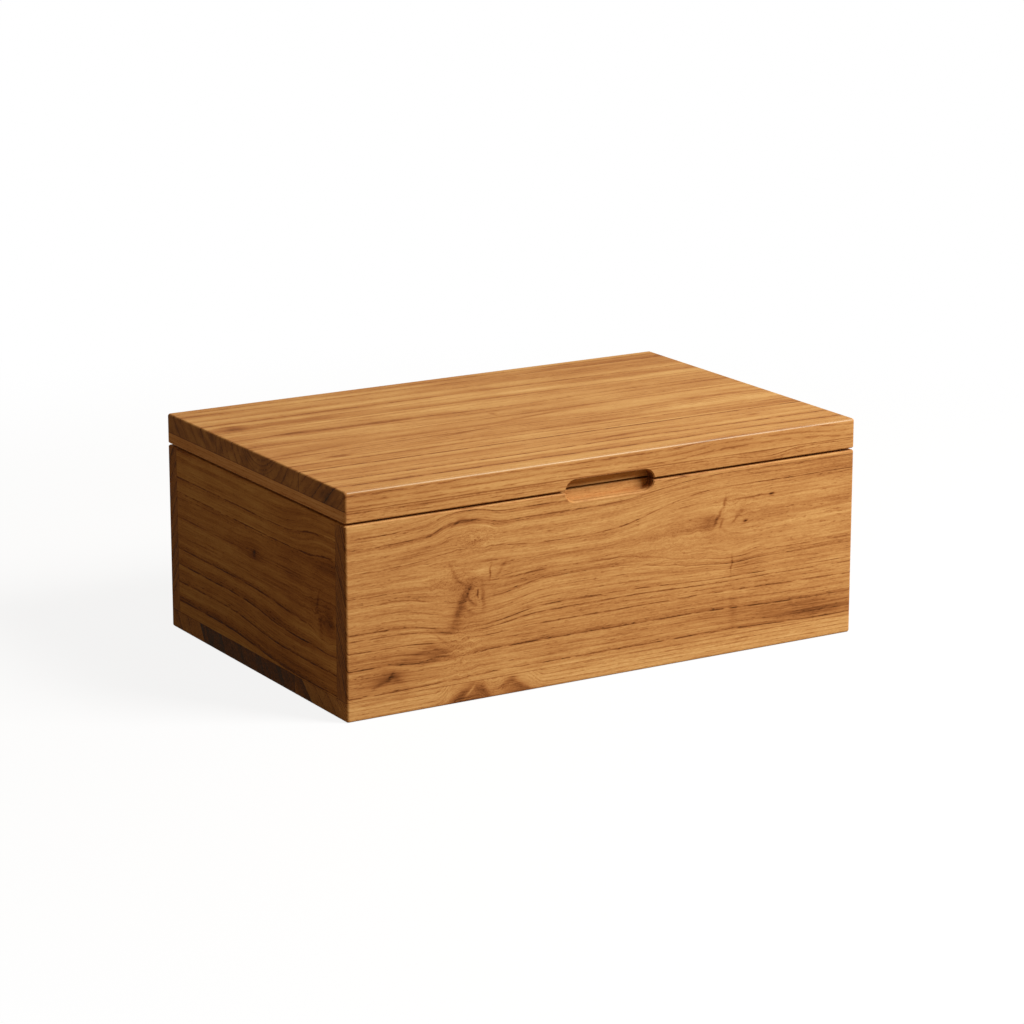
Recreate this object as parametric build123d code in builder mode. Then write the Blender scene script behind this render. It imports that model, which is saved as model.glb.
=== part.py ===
from build123d import *
import os

# Keepsake box of oiled hardwood with a hinged lid and a finger notch across the seam.
# Millimetres. +Z is up, the front faces -Y, the left end faces -X, and the box stands on Z = 0
# with the origin in the middle of its footprint. The lid is closed.

os.makedirs("parts", exist_ok=True)

# Whole box, and its base and walls
box_length = 300.0
box_depth = 194.0
box_height = 115.2
base_thickness = 10.0
wall_thickness = 10.0

# Lid: a panel on a mitred frame, held a little above the walls
lid_gap = 1.2
rail_height = 5.8
rail_width = 10.0
panel_thickness = 9.8

# Front and rear staves of the two glued-up panels; the middle stave takes the rest
lid_front_stave_width = 47.0
lid_rear_stave_width = 57.0
base_front_stave_width = 54.0
base_rear_stave_width = 39.0

# Sanded edges: upright corners, lid top and box bottom are rounded, both sides of the seam chamfered
corner_radius = 1.5
lid_edge_radius = 1.4
base_edge_radius = 1.2
seam_chamfer = 0.5

# Finger notch, centred on the seam, with its lip eased
notch_length = 52.0
notch_height = 11.0
notch_depth = 6.0
notch_ease = 0.6

# Loose tongues in stopped grooves, shallow in the faces and deeper in the edges and ends
tongue_thickness = 3.0
tongue_width = 10.0
tongue_face_depth = 4.0
tongue_stop = 15.0
tongue_clearance = 0.1

# Brass stop hinges, each with its middle at the inset from an end of the box
hinge_inset = 60.0
hinge_length = 34.0
leaf_thickness = 1.6
leaf_reach = 8.0
leaf_overhang = 0.3
mortise_clearance = 0.1
knuckle_count = 3
knuckle_diameter = 4.6
knuckle_gap = 0.15
knuckle_clearance = 0.2
pin_diameter = 2.4
pin_clearance = 0.05
opening_angle = 95.0
stop_clearance = 0.04

# Countersunk screws of the hinges
screws_per_leaf = 2
screw_spacing = 19.0
screw_head_diameter = 4.0
screw_shank_diameter = 2.0
screw_length = 8.0
screw_clearance = 0.05

# Felt pads that carry the front of the lid
pad_length = 9.0
pad_width = 5.0
pad_inset = 24.0

# How far every cut runs past the face that it opens
overrun = 1.0

# Levels and half sizes
half_length = box_length / 2
half_depth = box_depth / 2
panel_bottom = box_height - panel_thickness
lid_bottom = panel_bottom - rail_height
wall_top = lid_bottom - lid_gap
wall_height = wall_top - base_thickness
seam_height = wall_top + lid_gap / 2
inner_half_length = half_length - wall_thickness
inner_half_depth = half_depth - wall_thickness
wall_middle_x = half_length - wall_thickness / 2
wall_middle_y = half_depth - wall_thickness / 2

# Loose tongues, as sizes and centres: upright in the corners, flat along the foot of each wall
corner_tongue_y = inner_half_depth + tongue_face_depth - tongue_width / 2
base_tongue_z = base_thickness - tongue_face_depth + tongue_width / 2
tongues = {
    "corner_tongues": (
        (tongue_thickness, tongue_width, wall_height - 2 * tongue_stop),
        [
            (x, y, base_thickness + wall_height / 2)
            for x in (-wall_middle_x, wall_middle_x)
            for y in (-corner_tongue_y, corner_tongue_y)
        ],
    ),
    "long_base_tongues": (
        (2 * (inner_half_length - tongue_stop), tongue_thickness, tongue_width),
        [(0, y, base_tongue_z) for y in (-wall_middle_y, wall_middle_y)],
    ),
    "side_base_tongues": (
        (tongue_thickness, 2 * (inner_half_depth - tongue_stop), tongue_width),
        [(x, 0, base_tongue_z) for x in (-wall_middle_x, wall_middle_x)],
    ),
}

# Hinge places: the pin's axis runs along X behind the back face, level with the seam
knuckle_room = knuckle_diameter / 2 + knuckle_clearance
hinge_axis_y = half_depth + leaf_overhang + knuckle_room
hinge_middles = (hinge_inset - half_length, half_length - hinge_inset)
knuckle_pitch = hinge_length / knuckle_count
screw_y = half_depth - leaf_reach / 2
screws_at = [
    (middle + (index - (screws_per_leaf - 1) / 2) * screw_spacing, screw_y)
    for middle in hinge_middles
    for index in range(screws_per_leaf)
]


def rectangle_outline(left, front, right, rear):
    """Corners of a rectangle in plan."""
    return [(left, front), (right, front), (right, rear), (left, rear)]


def cut_from_plan(outline, bottom, height, eased_face, ease, amount):
    """Slab of the whole box's plan with one face's rim eased, trimmed to a piece's own outline."""
    with BuildPart() as piece:
        with BuildSketch(Plane.XY.offset(bottom)):
            RectangleRounded(box_length, box_depth, corner_radius)
        extrude(amount=height)
        ease(piece.faces().sort_by(Axis.Z)[eased_face].edges(), amount)
        with BuildSketch(Plane.XY.offset(bottom)):
            with BuildLine():
                Polyline(*outline, close=True)
            make_face()
        extrude(amount=height, mode=Mode.INTERSECT)
    return piece.part


def groove_for_tongues():
    """Stopped grooves in the piece being built, wherever a loose tongue reaches into it."""
    for size, centres in tongues.values():
        with Locations(*centres):
            Box(*[side + 2 * tongue_clearance for side in size], mode=Mode.SUBTRACT)


def cut_finger_notch():
    """Half of the blind finger notch, in the front of the piece being built, with a chamfered lip."""
    front_face = Plane(origin=(0, -half_depth, seam_height), x_dir=(1, 0, 0), z_dir=(0, -1, 0))
    with BuildSketch(front_face) as notch:
        SlotOverall(notch_length, notch_height)
    extrude(notch.sketch, amount=-notch_depth, mode=Mode.SUBTRACT)
    with BuildSketch(front_face) as lip:
        SlotOverall(notch_length + 2 * notch_ease, notch_height + 2 * notch_ease)
    extrude(lip.sketch, amount=-notch_ease, taper=45, mode=Mode.SUBTRACT)


def cut_hinge_mortises(floor, up):
    """Hinge seats in the piece being built, sunk from the seam to the floor and open at the back."""
    seat_length = hinge_length + 2 * mortise_clearance
    seat_width = leaf_reach + mortise_clearance + overrun
    with BuildSketch(Plane.XY.offset(floor)) as seats:
        with Locations(*[(middle, half_depth + overrun - seat_width / 2) for middle in hinge_middles]):
            Rectangle(seat_length, seat_width)
    extrude(seats.sketch, amount=up * (leaf_thickness + overrun), mode=Mode.SUBTRACT)


def bore_for_screws(seam_face, up):
    """Blind screw holes in the piece being built, from the leaf's face on the seam."""
    middle_z = seam_face + up * screw_length / 2
    with Locations(*[(x, y, middle_z) for x, y in screws_at]):
        Cylinder(
            screw_shank_diameter / 2 + screw_clearance,
            screw_length + 2 * screw_clearance,
            mode=Mode.SUBTRACT,
        )


def hinge_section(x):
    """Plane across a hinge: local X points to the back, local Y up, with its origin on the pin's axis."""
    return Plane(origin=(x, hinge_axis_y, seam_height), x_dir=(0, 1, 0), z_dir=(1, 0, 0))


def hinge_leaf(middle, up, first_knuckle, stop_heel):
    """One leaf: a plate with every other knuckle, countersunk for its screws.

    A stop heel squares off the lid leaf's knuckles below the pin. At full opening the heel's flat
    lands on the edge of the case leaf, so the flat is that edge turned back by the opening angle.
    """
    plate_level = up * (lid_gap + leaf_thickness) / 2
    plate_width = leaf_reach + leaf_overhang
    knuckle_length = knuckle_pitch - knuckle_gap
    stop_edge_x = stop_clearance - knuckle_room
    heel = [
        Vector(stop_edge_x, -lid_gap / 2).rotate(Axis.Z, opening_angle),
        Vector(stop_edge_x, -lid_gap / 2 - leaf_thickness).rotate(Axis.Z, opening_angle),
    ]
    with BuildPart() as leaf:
        with BuildSketch(hinge_section(middle)):
            with Locations((-knuckle_room - plate_width / 2, plate_level)):
                Rectangle(plate_width, leaf_thickness)
        extrude(amount=hinge_length / 2, both=True)
        for index in range(first_knuckle, knuckle_count, 2):
            knuckle_x = middle + (index - (knuckle_count - 1) / 2) * knuckle_pitch
            with BuildSketch(hinge_section(knuckle_x)):
                with Locations((-knuckle_room / 2, plate_level)):
                    Rectangle(knuckle_room, leaf_thickness)
                Circle(knuckle_diameter / 2)
                if stop_heel:
                    with BuildLine():
                        Polyline((0, 0), *heel, (knuckle_diameter / 2, 0), close=True)
                    make_face()
                Circle(pin_diameter / 2 + pin_clearance, mode=Mode.SUBTRACT)
            extrude(amount=knuckle_length / 2, both=True)
        face_level = seam_height + up * lid_gap / 2
        with Locations(Plane(origin=(middle, screw_y, face_level), x_dir=(1, 0, 0), z_dir=(0, 0, -up))):
            with GridLocations(screw_spacing, 0, screws_per_leaf, 1):
                CounterSinkHole(
                    screw_shank_diameter / 2 + screw_clearance,
                    screw_head_diameter / 2 + screw_clearance,
                    leaf_thickness + overrun,
                    90,
                )
    return leaf.part


def hinge_pin(middle):
    """Pin that joins a hinge's two leaves, flush with the outer knuckles."""
    with BuildPart() as pin:
        with BuildSketch(hinge_section(middle)):
            Circle(pin_diameter / 2)
        extrude(amount=hinge_length / 2, both=True)
    return pin.part


def write(piece, name):
    """Labels a finished piece and writes it."""
    piece.label = name
    export_step(piece, f"parts/{name}.step")


# Bottom panel, three staves grooved for the walls that stand on it
base_front_joint = base_front_stave_width - half_depth
base_rear_joint = half_depth - base_rear_stave_width
base_staves = {
    "base_stave_front": (-half_depth, base_front_joint),
    "base_stave_middle": (base_front_joint, base_rear_joint),
    "base_stave_rear": (base_rear_joint, half_depth),
}
for name, (front, rear) in base_staves.items():
    with BuildPart() as base_stave:
        outline = rectangle_outline(-half_length, front, half_length, rear)
        add(cut_from_plan(outline, 0, base_thickness, 0, fillet, base_edge_radius))
        groove_for_tongues()
    write(base_stave.part, name)

# Front board with the lower half of the finger notch
with BuildPart() as front_board:
    outline = rectangle_outline(-half_length, -half_depth, half_length, -inner_half_depth)
    add(cut_from_plan(outline, base_thickness, wall_height, -1, chamfer, seam_chamfer))
    cut_finger_notch()
    groove_for_tongues()
write(front_board.part, "front_board")

# Back board with the seats and screw holes of the hinges' case leaves
with BuildPart() as back_board:
    outline = rectangle_outline(-half_length, inner_half_depth, half_length, half_depth)
    add(cut_from_plan(outline, base_thickness, wall_height, -1, chamfer, seam_chamfer))
    cut_hinge_mortises(wall_top - leaf_thickness, 1)
    bore_for_screws(wall_top, -1)
    groove_for_tongues()
write(back_board.part, "back_board")

# Side boards, butted between the front and the back
side_boards = {
    "left_side_board": (-half_length, -inner_half_length),
    "right_side_board": (inner_half_length, half_length),
}
for name, (left, right) in side_boards.items():
    with BuildPart() as side_board:
        outline = rectangle_outline(left, -inner_half_depth, right, inner_half_depth)
        add(cut_from_plan(outline, base_thickness, wall_height, -1, chamfer, seam_chamfer))
        groove_for_tongues()
    write(side_board.part, name)

# Loose tongues, alike within each set
for name, (size, centres) in tongues.items():
    with BuildPart() as tongue_set:
        with Locations(*centres):
            Box(*size)
    write(tongue_set.part, name)

# Lid frame, four rails mitred at the corners
rail_inner_length = half_length - rail_width
rail_inner_depth = half_depth - rail_width
frame_outer = rectangle_outline(-half_length, -half_depth, half_length, half_depth)
frame_inner = rectangle_outline(-rail_inner_length, -rail_inner_depth, rail_inner_length, rail_inner_depth)
rail_names = ("lid_front_rail", "lid_right_rail", "lid_back_rail", "lid_left_rail")
for side, name in enumerate(rail_names):
    following = (side + 1) % len(rail_names)
    outline = [frame_outer[side], frame_outer[following], frame_inner[following], frame_inner[side]]
    with BuildPart() as rail:
        add(cut_from_plan(outline, lid_bottom, rail_height, 0, chamfer, seam_chamfer))
        if name == "lid_front_rail":
            cut_finger_notch()
        if name == "lid_back_rail":
            cut_hinge_mortises(lid_bottom + leaf_thickness, -1)
            bore_for_screws(lid_bottom, 1)
    write(rail.part, name)

# Lid panel, three staves; the hinge screws reach into the rear one
lid_front_joint = lid_front_stave_width - half_depth
lid_rear_joint = half_depth - lid_rear_stave_width
lid_staves = {
    "lid_stave_front": (-half_depth, lid_front_joint),
    "lid_stave_middle": (lid_front_joint, lid_rear_joint),
    "lid_stave_rear": (lid_rear_joint, half_depth),
}
for name, (front, rear) in lid_staves.items():
    with BuildPart() as lid_stave:
        outline = rectangle_outline(-half_length, front, half_length, rear)
        add(cut_from_plan(outline, panel_bottom, panel_thickness, -1, fillet, lid_edge_radius))
        bore_for_screws(lid_bottom, 1)
    write(lid_stave.part, name)

# Hinges: the case leaf has the outer knuckles, the lid leaf the ones between, with the stop heels
for hinge, middle in zip(("left_hinge", "right_hinge"), hinge_middles):
    write(hinge_leaf(middle, -1, 0, False), f"{hinge}_case_leaf")
    write(hinge_leaf(middle, 1, 1, True), f"{hinge}_lid_leaf")
    write(hinge_pin(middle), f"{hinge}_pin")

# Hinge screw: countersunk head and plain shank, its head's face on Z = 0
with BuildPart() as screw:
    with BuildSketch(Plane.XZ):
        with BuildLine():
            head_height = (screw_head_diameter - screw_shank_diameter) / 2
            Polyline(
                (0, 0),
                (screw_head_diameter / 2, 0),
                (screw_shank_diameter / 2, -head_height),
                (screw_shank_diameter / 2, -screw_length),
                (0, -screw_length),
                close=True,
            )
        make_face()
    revolve(axis=Axis.Z)

screw_sets = {
    "case_hinge_screws": (wall_top, -1),
    "lid_hinge_screws": (lid_bottom, 1),
}
for name, (seam_face, up) in screw_sets.items():
    with BuildPart() as screws:
        with Locations(*[Plane((x, y, seam_face), z_dir=(0, 0, -up)) for x, y in screws_at]):
            add(screw.part)
    write(screws.part, name)

# Felt pads on the front board, as thick as the gap under the lid
with BuildPart() as lid_pads:
    with BuildSketch(Plane.XY.offset(wall_top)):
        with Locations((pad_inset - half_length, -wall_middle_y), (half_length - pad_inset, -wall_middle_y)):
            Rectangle(pad_length, pad_width)
    extrude(amount=lid_gap)
write(lid_pads.part, "lid_pads")
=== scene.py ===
"""Looks of a hinged keepsake box: sanded and oiled teak, brass stop hinges, felt pads, a plain white studio.

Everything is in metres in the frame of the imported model: +Z up, the front faces -Y, the lid is closed.
The wood is a solid texture. Each board reads its own place in millimetres along and across its grain, so the
long grain on its faces, the lines on its edges and the rings on its ends belong together.
"""

import logging
import math
from dataclasses import dataclass, replace
from enum import Enum
from typing import Any

import bmesh
import bpy
import numpy as np
from mathutils import Euler, Matrix, Vector


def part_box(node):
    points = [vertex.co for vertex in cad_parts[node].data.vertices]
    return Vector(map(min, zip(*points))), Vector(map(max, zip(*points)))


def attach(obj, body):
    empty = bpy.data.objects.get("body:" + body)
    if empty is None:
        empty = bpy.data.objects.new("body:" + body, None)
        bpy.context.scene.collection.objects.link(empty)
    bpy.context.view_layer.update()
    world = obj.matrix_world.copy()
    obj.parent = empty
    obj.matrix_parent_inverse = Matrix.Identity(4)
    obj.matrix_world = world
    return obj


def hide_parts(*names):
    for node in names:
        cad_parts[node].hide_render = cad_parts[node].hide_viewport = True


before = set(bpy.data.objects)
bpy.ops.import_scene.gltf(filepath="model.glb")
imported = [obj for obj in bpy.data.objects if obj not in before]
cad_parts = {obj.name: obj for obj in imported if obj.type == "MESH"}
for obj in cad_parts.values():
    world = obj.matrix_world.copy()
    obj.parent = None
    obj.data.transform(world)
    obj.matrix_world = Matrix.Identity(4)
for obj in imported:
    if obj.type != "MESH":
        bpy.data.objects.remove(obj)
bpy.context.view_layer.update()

LOG = logging.getLogger("keepsake_box")
MM = 0.001
PER_MM = 1000.0
# A size in mm past every board, so that a spot runs right through one.
FAR = 1.0e6
# A gap in metres that counts as none.
SAME_PLACE = 1.0e-6
# Middle of a noise and of a ramp, which both run from 0 to 1.
MIDDLE = 0.5
INVERSE_E = math.exp(-1.0)
WHITE = (1.0, 1.0, 1.0, 1.0)
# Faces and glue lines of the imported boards, in mm.
FRONT_FACE = -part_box("front_board")[0].y * PER_MM
SIDE_FACE = -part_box("left_side_board")[0].x * PER_MM
SIDE_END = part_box("left_side_board")[1].y * PER_MM
BASE_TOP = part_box("base_stave_middle")[1].z * PER_MM
RAIL_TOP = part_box("lid_front_rail")[1].z * PER_MM
LID_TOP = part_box("lid_stave_middle")[1].z * PER_MM
LID_FRONT_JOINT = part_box("lid_stave_middle")[0].y * PER_MM
LID_REAR_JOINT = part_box("lid_stave_middle")[1].y * PER_MM
Socket = bpy.types.NodeSocket
Tree = bpy.types.NodeTree
Colour = tuple[float, float, float, float]
Stops = list[tuple[float, Colour]]


def linear(colour: str) -> Colour:
    """Turns an sRGB hex colour to linear light.

    Args:
        colour: Colour as "#rrggbb".

    Returns:
        Linear red, green and blue, and an alpha of 1.
    """
    shares = np.array([int(colour[i : i + 2], 16) for i in (1, 3, 5)]) / 255.0
    # The sRGB curve: straight near black, a power above that.
    light = np.where(shares <= 0.04045, shares / 12.92, ((shares + 0.055) / 1.055) ** 2.4)
    return (*light.tolist(), 1.0)


def add_node(
    tree: Tree,
    kind: str,
    inputs: dict[int | str, Any],
    out: int | str = 0,
    stops: Stops | None = None,
    blend: str = "LINEAR",
    **settings: Any,
) -> Socket | None:
    """Adds a node with its settings and links.

    Args:
        tree: Node tree that gets the node.
        kind: Type of node, without the leading "ShaderNode".
        inputs: Value or source socket for each input that is set, by the input's name or number.
        out: Name or number of the output that is wanted.
        stops: Place and linear colour of each stop of a colour ramp, in rising order.
        blend: How a colour ramp goes from stop to stop.
        **settings: Properties of the node.

    Returns:
        The wanted output, or nothing for a node that ends a tree.
    """
    made = tree.nodes.new("ShaderNode" + kind)
    for name, value in settings.items():
        setattr(made, name, value)
    for key, value in inputs.items():
        if isinstance(value, Socket):
            tree.links.new(value, made.inputs[key])
        else:
            made.inputs[key].default_value = value
    if stops:
        ramp = made.color_ramp
        ramp.interpolation = blend
        ramp.elements.remove(ramp.elements[-1])
        elements = [ramp.elements[0], *(ramp.elements.new(place) for place, _ in stops[1:])]
        for element, (place, shade) in zip(elements, stops):
            element.position = place
            element.color = shade
    return made.outputs[out] if len(made.outputs) else None


def new_material(name: str) -> tuple[bpy.types.Material, Tree]:
    """Makes an empty material.

    Args:
        name: The material's name.

    Returns:
        The material and its node tree, without nodes.
    """
    material = bpy.data.materials.new(name)
    material.use_nodes = True
    material.node_tree.nodes.clear()
    return material, material.node_tree


def dress(node: str, material: bpy.types.Material) -> None:
    """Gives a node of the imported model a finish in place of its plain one.

    Args:
        node: The node's name.
        material: The finish.
    """
    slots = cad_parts[node].data.materials
    slots.clear()
    slots.append(material)
    LOG.info("%s: %s", node, material.name)


def new_piece(name: str, vertices: np.ndarray, faces: np.ndarray, smooth: bool) -> bpy.types.Object:
    """Makes a piece from computed vertices, with its place in its mesh, and joins points that fall together.

    Args:
        name: The piece's name.
        vertices: One row of x, y and z per vertex, in metres.
        faces: One row of vertex numbers per face.
        smooth: Whether the faces are shaded smooth.

    Returns:
        The new object, in the scene.
    """
    mesh = bpy.data.meshes.new(name)
    mesh.from_pydata(vertices.tolist(), [], faces.tolist())
    shape = bmesh.new()
    shape.from_mesh(mesh)
    bmesh.ops.remove_doubles(shape, verts=shape.verts, dist=SAME_PLACE)
    bmesh.ops.recalc_face_normals(shape, faces=shape.faces)
    shape.to_mesh(mesh)
    shape.free()
    mesh.polygons.foreach_set("use_smooth", np.full(len(mesh.polygons), smooth))
    mesh.update()
    piece = bpy.data.objects.new(name, mesh)
    bpy.context.scene.collection.objects.link(piece)
    return piece


def drawn_out(tree: Tree, place: Socket, long: float, wide: float) -> Socket:
    """Place in units of a pattern's size along its lines and across them."""
    return add_node(tree, "VectorMath", {0: place, 1: (1 / long, 1 / wide, 1 / wide)}, operation="MULTIPLY")


class Grain(Enum):
    """How a board lies: box axes that run along its grain, across its show face and out of that face."""

    FRONT = ((1, 0, 0), (0, 0, 1), (0, -1, 0))
    LEFT = ((0, -1, 0), (0, 0, 1), (-1, 0, 0))
    TOP = ((1, 0, 0), (0, 1, 0), (0, 0, 1))

    def turn(self) -> Euler:
        """Rotation from box axes to the board's own."""
        return Matrix(self.value).to_euler()


@dataclass(frozen=True)
class Swirl:
    """A place where the grain leaves its straight course, sized in mm along and across the board.

    Lines there are lifted by lift, and pushed apart by spread times their distance from the middle. One that
    goes on keeps its full strength towards the end of the board.
    """

    along: float
    across: float
    long: float
    wide: float
    lift: float = 0.0
    spread: float = 0.0
    goes_on: bool = False


@dataclass(frozen=True)
class Ring:
    """The dark end of a growth ring: its course in mm, how dark it is, and brown that fades on one side."""

    course: float
    dark: float
    brown: float
    fade: float


@dataclass(frozen=True)
class Mark:
    """A dark or, below zero, a pale spot in the figure: an ellipse in mm, turned by degrees.

    A spot on the show face has its place along and across the board, one on an edge along and out of it.
    """

    along: float
    across: float
    long: float
    wide: float
    turn: float
    dark: float
    on_edge: bool = False


@dataclass(frozen=True)
class Board:
    """One board: how it lies, where its show face is and what its figure shows.

    Face is the level of its outer face in mm, and seed keeps its noise apart from that of other boards.
    Rings slant through the thickness, or go round a pith given by its place across and out of the board.
    Tone is how dark the plain wood is. On end grain, ends adds to that, end_figure adds to the figure and
    end_dry greys the colour. Cast tints the board. Streaky strengthens its bands, coarse makes its lines and
    bands wider than usual, and quiet takes figure from its back. One more value says how far its long edges
    are polished to a shine and darkened as painted shade. Curls are spots whose fibres look mottled. A joint
    is a glue line, by axis and level in mm.
    """

    node: str
    grain: Grain
    seed: int
    face: float
    slant: float = 0.0
    pith: tuple[float, float] | None = None
    tone: float = 0.40
    ends: float = 0.16
    end_figure: float = 0.7
    end_dry: float = 0.07
    cast: str = "#ffffff"
    streaky: float = 1.0
    coarse: float = 1.0
    quiet: float = 0.0
    edge_shine_and_shade: float = 0.25
    swirls: tuple[Swirl, ...] = ()
    rings: tuple[Ring, ...] = ()
    marks: tuple[Mark, ...] = ()
    curls: tuple[Mark, ...] = ()
    joints: tuple[tuple[str, float], ...] = ()


@dataclass(frozen=True)
class Streaks:
    """Noise drawn out along the grain: its size in mm along and across, its octaves and its strength."""

    long: float
    wide: float
    octaves: float
    strength: float = 1.0


@dataclass(frozen=True)
class OiledTeak:
    """Teak, sanded and oiled to a satin.

    The eye sees golden brown long grain with dark, broken ring lines, short open pores, darker ends, faces
    that the open pores leave almost matt, and edges that sanding and rubbing leave smooth enough to shine,
    whose colour is darkened as painted shade.
    """

    name: str = "oiled teak"
    tones: tuple[tuple[float, str], ...] = (
        (0.00, "#e6bb7d"),
        (0.20, "#d3a264"),
        (0.40, "#bd864e"),
        (0.55, "#a66d3c"),
        (0.70, "#86522b"),
        (0.85, "#5f371a"),
        (1.00, "#382110"),
    )
    ior: float = 1.5
    face_roughness: float = 0.66
    edge_roughness: float = 0.42
    face_shine: float = 0.03
    edge_shine: float = 0.50
    # Colour kept on polished long edges: painted shade that keeps the lit edge's highlight pale.
    edge_painted_shade: float = 0.74
    oil_tint: str = "#fff6dc"
    end_grey: str = "#8f9186"
    ring_span: float = 280.0
    line_width: float = 0.5
    # From one board's noise to the next board's, in mm along the grain.
    board_step: float = 331.0
    octave_share: float = 0.6
    # Sizes in mm. Real fibres, pores and sanding grit are too fine to show, so they are drawn coarser.
    wander: Streaks = Streaks(120.0, 30.0, 2.0, 1.6)
    bands: Streaks = Streaks(170.0, 4.5, 3.0, 0.42)
    fibres: Streaks = Streaks(24.0, 0.75, 4.0, 0.62)
    clouds: Streaks = Streaks(26.0, 11.0, 2.0, 0.16)
    grit: Streaks = Streaks(1.6, 0.7, 2.0, 0.24)
    pores: Streaks = Streaks(4.2, 0.40, 1.0, 0.18)
    churn: Streaks = Streaks(7.0, 4.0, 2.0, 34.0)
    breaks: Streaks = Streaks(9.0, 1.6, 2.0)
    push: Streaks = Streaks(9.0, 5.0, 3.0, 3.2)
    specks: Streaks = Streaks(1.0, 0.6, 1.0)
    # Levels of noise at which pores, unbroken lines and specks start and are full.
    pore_from: float = 0.08
    pore_to: float = 0.24
    break_from: float = -0.16
    break_to: float = 0.08
    speck_from: float = 0.02
    speck_to: float = 0.22
    pore_in_brown: float = 1.6
    fibre_spread: float = 0.4
    ragged: float = 1.2
    calm: float = 0.7
    # Facing along an axis at which end grain, a board's back and long edges start and are full. The long
    # edges get shine and painted shade.
    end_from: float = 0.55
    end_to: float = 0.95
    back_from: float = -0.5
    back_to: float = -0.9
    edge_from: float = 0.995
    edge_to: float = 0.9
    long_from: float = 0.02
    long_to: float = 0.2
    joint_width: float = 0.3
    joint_dark: float = 0.3
    relief: float = 0.2
    relief_depth: float = 0.12

    def material(self, board: Board) -> bpy.types.Material:
        """Builds the finish of one board.

        Args:
            board: The board that gets it.

        Returns:
            The material, with the board's own figure.
        """
        material, tree = new_material(f"{self.name}, {board.node}")
        point = add_node(tree, "TexCoord", {}, "Object")
        place = add_node(
            tree, "Mapping", {"Vector": point, "Rotation": board.grain.turn(), "Scale": (PER_MM,) * 3}
        )
        rings = flow = self._flow(tree, board, place, 1.0)
        if any(swirl.spread for swirl in board.swirls):
            flow = self._flow(tree, board, place, self.fibre_spread)
        grit = self._noise(tree, place, self.grit)
        edge_shine_and_shade = add_node(tree, "Math", {0: self._long_edges(tree), 1: board.edge_shine_and_shade}, operation="MULTIPLY")
        end = self._ends(tree, board)
        figure = self._figure(tree, board, flow, self._course(tree, board, rings))
        if board.curls:
            shown = {0: figure, 1: self._calm(tree, board, place)}
            figure = add_node(tree, "Math", shown, operation="MULTIPLY")
        parts = [
            (self._noise(tree, flow, self.fibres), self.fibres.strength / board.coarse),
            (self._noise(tree, flow, self._widened(self.bands, board)), self.bands.strength * board.streaky),
            (self._noise(tree, flow, self.clouds), self.clouds.strength * board.streaky),
            (grit, self.grit.strength / board.coarse),
            (figure, 1.0),
            (add_node(tree, "Math", {0: figure, 1: end}, operation="MULTIPLY"), board.end_figure),
            (self._marks(tree, board, place, grit), 1.0),
            (end, board.ends),
        ]
        tone = self._sum(tree, board.tone, parts)
        if board.quiet:
            tone = self._quieted(tree, board, tone)
        cast = np.array(linear(board.cast))
        shades = [(level, tuple(np.array(linear(shade)) * cast)) for level, shade in self.tones]
        colour = add_node(tree, "ValToRGB", {0: tone}, stops=shades)
        dry = {0: self._between(tree, end, 0.0, board.end_dry), 6: colour, 7: linear(self.end_grey)}
        colour = add_node(tree, "Mix", dry, 2, data_type="RGBA")
        # Painted shade: the colour is darkened on the polished long edges.
        darkened = {0: colour, "Scale": self._between(tree, edge_shine_and_shade, 1.0, self.edge_painted_shade)}
        surface = add_node(
            tree,
            "BsdfPrincipled",
            {
                "Base Color": add_node(tree, "VectorMath", darkened, operation="SCALE"),
                "Roughness": self._between(tree, edge_shine_and_shade, self.face_roughness, self.edge_roughness),
                "IOR": self.ior,
                "Specular IOR Level": self._between(tree, edge_shine_and_shade, self.face_shine, self.edge_shine),
                "Specular Tint": linear(self.oil_tint),
                "Normal": self._relief(tree, board, place),
            },
        )
        add_node(tree, "OutputMaterial", {"Surface": surface})
        return material

    def _noise(self, tree: Tree, place: Socket, streaks: Streaks) -> Socket:
        """Noise drawn out along the grain.

        Args:
            tree: Node tree that gets it.
            place: Place in mm along, across and out of the board.
            streaks: Its size and octaves.

        Returns:
            Noise around 0, mostly within a quarter of it.
        """
        sized = drawn_out(tree, place, streaks.long, streaks.wide)
        octaves = {"Detail": streaks.octaves, "Roughness": self.octave_share}
        noise = add_node(tree, "TexNoise", {"Vector": sized, "Scale": 1.0, **octaves})
        return add_node(tree, "Math", {0: noise, 1: MIDDLE}, operation="SUBTRACT")

    def _widened(self, streaks: Streaks, board: Board) -> Streaks:
        """Streaks as wide and as smooth as a board with coarse grain shows them."""
        return replace(streaks, wide=streaks.wide * board.coarse, octaves=streaks.octaves / board.coarse**2)

    def _between(self, tree: Tree, share: Socket, low: float, high: float) -> Socket:
        """A value that goes from low to high with a share from 0 to 1."""
        return add_node(tree, "MapRange", {0: share, 3: low, 4: high})

    def _sum(self, tree: Tree, start: Socket | float, parts: list[tuple[Socket | float, float]]) -> Socket:
        """Adds weighted parts to a starting value.

        Args:
            tree: Node tree that gets the sum.
            start: Value before the parts.
            parts: Each part with its weight.

        Returns:
            The sum.
        """
        total = start
        for part, weight in parts:
            total = add_node(tree, "Math", {0: part, 1: weight, 2: total}, operation="MULTIPLY_ADD")
        return total

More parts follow.
